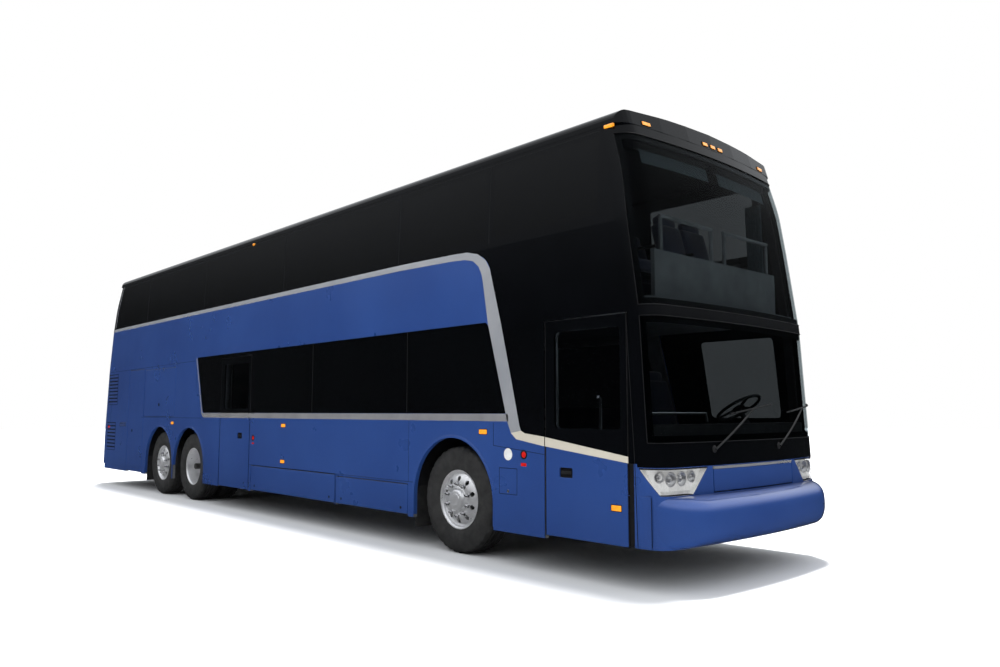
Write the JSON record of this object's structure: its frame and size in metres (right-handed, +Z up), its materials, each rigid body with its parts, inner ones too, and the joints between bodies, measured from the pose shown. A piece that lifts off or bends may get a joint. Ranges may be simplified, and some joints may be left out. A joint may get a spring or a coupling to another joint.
{
  "type": "double-deck coach",
  "caption": "Double-deck touring coach with steered front wheels, powered parallel doors, side lockers, luggage doors, service door and engine door.",
  "frame": {"origin": "on the ground at the middle of the vehicle's length and width", "axes": "+X towards the front, +Y to the vehicle's left, +Z up; the passenger doors are on the -Y side"},
  "size_m": [13.7189, 2.59, 3.99],
  "materials": {
    "body_paint": "gloss metallic",
    "black_paint": "gloss",
    "tinted_glass": "gloss",
    "alloy": "polished",
    "steel": "satin",
    "tyre": "matte",
    "black_plastic": "satin",
    "floor_trim": "matte",
    "seat_fabric": "woven",
    "lamp": "clear",
    "cast_iron": "painted",
    "flap_rubber": "matte"
  },
  "bodies": {
    "body": {"underframe": "steel", "engine_block": "cast_iron", "axles": "steel", "side_right": "body_paint", "side_left": "body_paint", "lower_side_glass": "tinted_glass", "upper_side_glass": "black_paint", "roof": "black_paint", "front_frame": "black_paint", "windscreens": "tinted_glass", "front_mask": "body_paint", "front_bumper": "body_paint", "lamps": "lamp", "rear_panel": "body_paint", "rear_window": "tinted_glass", "lower_deck": "floor_trim", "upper_deck": "floor_trim", "stairs": "floor_trim", "wheel_housings": "black_plastic", "mud_flaps": "flap_rubber", "dashboard": "black_plastic", "driver_seat": "seat_fabric", "seats_lower": "seat_fabric", "seats_upper": "seat_fabric", "guard_rails": "black_plastic"},
    "knuckle_left": {"knuckle_left": "steel"},
    "knuckle_right": {"knuckle_right": "steel"},
    "steering_wheel": {"steering_wheel": "black_plastic"},
    "front_flap": {"front_flap": "body_paint"},
    "engine_door": {"engine_door": "body_paint"},
    "front_door": {"front_door": "body_paint"},
    "front_door_arm": {"front_door_arm": "steel"},
    "mid_door": {"mid_door": "body_paint"},
    "mid_door_arm": {"mid_door_arm": "steel"},
    "locker_flap_front_right": {"locker_flap_front_right": "body_paint"},
    "locker_flap_rear_right": {"locker_flap_rear_right": "body_paint"},
    "locker_flap_front_left": {"locker_flap_front_left": "body_paint"},
    "locker_flap_rear_left": {"locker_flap_rear_left": "body_paint"},
    "luggage_door_right": {"luggage_door_right": "body_paint"},
    "luggage_door_left": {"luggage_door_left": "body_paint"},
    "service_door": {"service_door": "body_paint"},
    "road_wheel_front_left": {"tyre_front_left": "tyre", "wheel_front_left": "alloy"},
    "road_wheel_front_right": {"tyre_front_right": "tyre", "wheel_front_right": "alloy"},
    "road_wheel_drive_left": {"tyre_drive_left": "tyre", "wheel_drive_left": "alloy"},
    "road_wheel_drive_right": {"tyre_drive_right": "tyre", "wheel_drive_right": "alloy"},
    "road_wheel_tag_left": {"tyre_tag_left": "tyre", "wheel_tag_left": "alloy"},
    "road_wheel_tag_right": {"tyre_tag_right": "tyre", "wheel_tag_right": "alloy"}
  },
  "joints": [
    {"name": "spin_front_left", "type": "hinge", "parent": "knuckle_left", "child": "road_wheel_front_left", "pos_m": [4.07, 1.0695, 0.524], "axis": [0, 1, 0], "continuous": true},
    {"name": "spin_front_right", "type": "hinge", "parent": "knuckle_right", "child": "road_wheel_front_right", "pos_m": [4.07, -1.0695, 0.524], "axis": [0, 1, 0], "continuous": true},
    {"name": "spin_drive_left", "type": "hinge", "parent": "body", "child": "road_wheel_drive_left", "pos_m": [-2.53, 1.0695, 0.524], "axis": [0, 1, 0], "continuous": true},
    {"name": "spin_drive_right", "type": "hinge", "parent": "body", "child": "road_wheel_drive_right", "pos_m": [-2.53, -1.0695, 0.524], "axis": [0, 1, 0], "continuous": true},
    {"name": "spin_tag_left", "type": "hinge", "parent": "body", "child": "road_wheel_tag_left", "pos_m": [-3.8, 1.0695, 0.524], "axis": [0, 1, 0], "continuous": true},
    {"name": "spin_tag_right", "type": "hinge", "parent": "body", "child": "road_wheel_tag_right", "pos_m": [-3.8, -1.0695, 0.524], "axis": [0, 1, 0], "continuous": true},
    {"name": "steering_wheel_turn", "type": "hinge", "parent": "body", "child": "steering_wheel", "pos_m": [6.08, 0.72, 1.43], "axis": [-0.5299, 0, 0.848], "range_deg": [-684, 684]},
    {"name": "steer_left", "type": "hinge", "parent": "body", "child": "knuckle_left", "pos_m": [4.07, 0.88, 0.524], "axis": [0, 0, 1], "range_deg": [-38.5, 38.5]},
    {"name": "steer_right", "type": "hinge", "parent": "body", "child": "knuckle_right", "pos_m": [4.07, -0.88, 0.524], "axis": [0, 0, 1], "range_deg": [-38.5, 38.5]},
    {"name": "front_door_swing", "type": "hinge", "parent": "body", "child": "front_door_arm", "pos_m": [6.195, -1.165, 1], "axis": [0, 0, 1], "range_deg": [0, 110]},
    {"name": "front_door_follow", "type": "hinge", "parent": "front_door_arm", "child": "front_door", "pos_m": [5.635, -1.165, 1], "axis": [0, 0, 1], "range_deg": [-110.5, 0.5]},
    {"name": "mid_door_swing", "type": "hinge", "parent": "body", "child": "mid_door_arm", "pos_m": [-1.276, -1.165, 1], "axis": [0, 0, -1], "range_deg": [0, 110]},
    {"name": "mid_door_follow", "type": "hinge", "parent": "mid_door_arm", "child": "mid_door", "pos_m": [-0.716, -1.165, 1], "axis": [0, 0, -1], "range_deg": [-110.5, 0.5]},
    {"name": "locker_front_right_lift", "type": "hinge", "parent": "body", "child": "locker_flap_front_right", "pos_m": [2.636, -1.295, 0.6317], "axis": [-1, 0, 0], "range_deg": [0, 100]},
    {"name": "locker_rear_right_lift", "type": "hinge", "parent": "body", "child": "locker_flap_rear_right", "pos_m": [0.796, -1.295, 0.6517], "axis": [-1, 0, 0], "range_deg": [0, 100]},
    {"name": "luggage_right_lift", "type": "hinge", "parent": "body", "child": "luggage_door_right", "pos_m": [-3.86, -1.295, 2.1317], "axis": [-1, 0, 0], "range_deg": [0, 95]},
    {"name": "locker_front_left_lift", "type": "hinge", "parent": "body", "child": "locker_flap_front_left", "pos_m": [2.636, 1.295, 0.6317], "axis": [1, 0, 0], "range_deg": [0, 100]},
    {"name": "locker_rear_left_lift", "type": "hinge", "parent": "body", "child": "locker_flap_rear_left", "pos_m": [0.796, 1.295, 0.6517], "axis": [1, 0, 0], "range_deg": [0, 100]},
    {"name": "luggage_left_lift", "type": "hinge", "parent": "body", "child": "luggage_door_left", "pos_m": [-3.86, 1.295, 2.1317], "axis": [1, 0, 0], "range_deg": [0, 95]},
    {"name": "service_door_swing", "type": "hinge", "parent": "body", "child": "service_door", "pos_m": [-4.5953, -1.295, 1.2], "axis": [0, 0, 1], "range_deg": [0, 90]},
    {"name": "engine_door_lift", "type": "hinge", "parent": "body", "child": "engine_door", "pos_m": [-6.76009, 0, 1.9597], "axis": [0, 1, 0], "range_deg": [0, 85]},
    {"name": "front_flap_lift", "type": "hinge", "parent": "body", "child": "front_flap", "pos_m": [6.67014, 0, 0.9547], "axis": [0, -1, 0], "range_deg": [0, 85]}
  ],
  "couplings": [
    {"joint": "steer_left", "follows": "steering_wheel_turn", "ratio": 0.055556},
    {"joint": "steer_right", "follows": "steering_wheel_turn", "ratio": 0.055556},
    {"joint": "front_door_follow", "follows": "front_door_swing", "ratio": -1},
    {"joint": "mid_door_follow", "follows": "mid_door_swing", "ratio": -1}
  ]
}
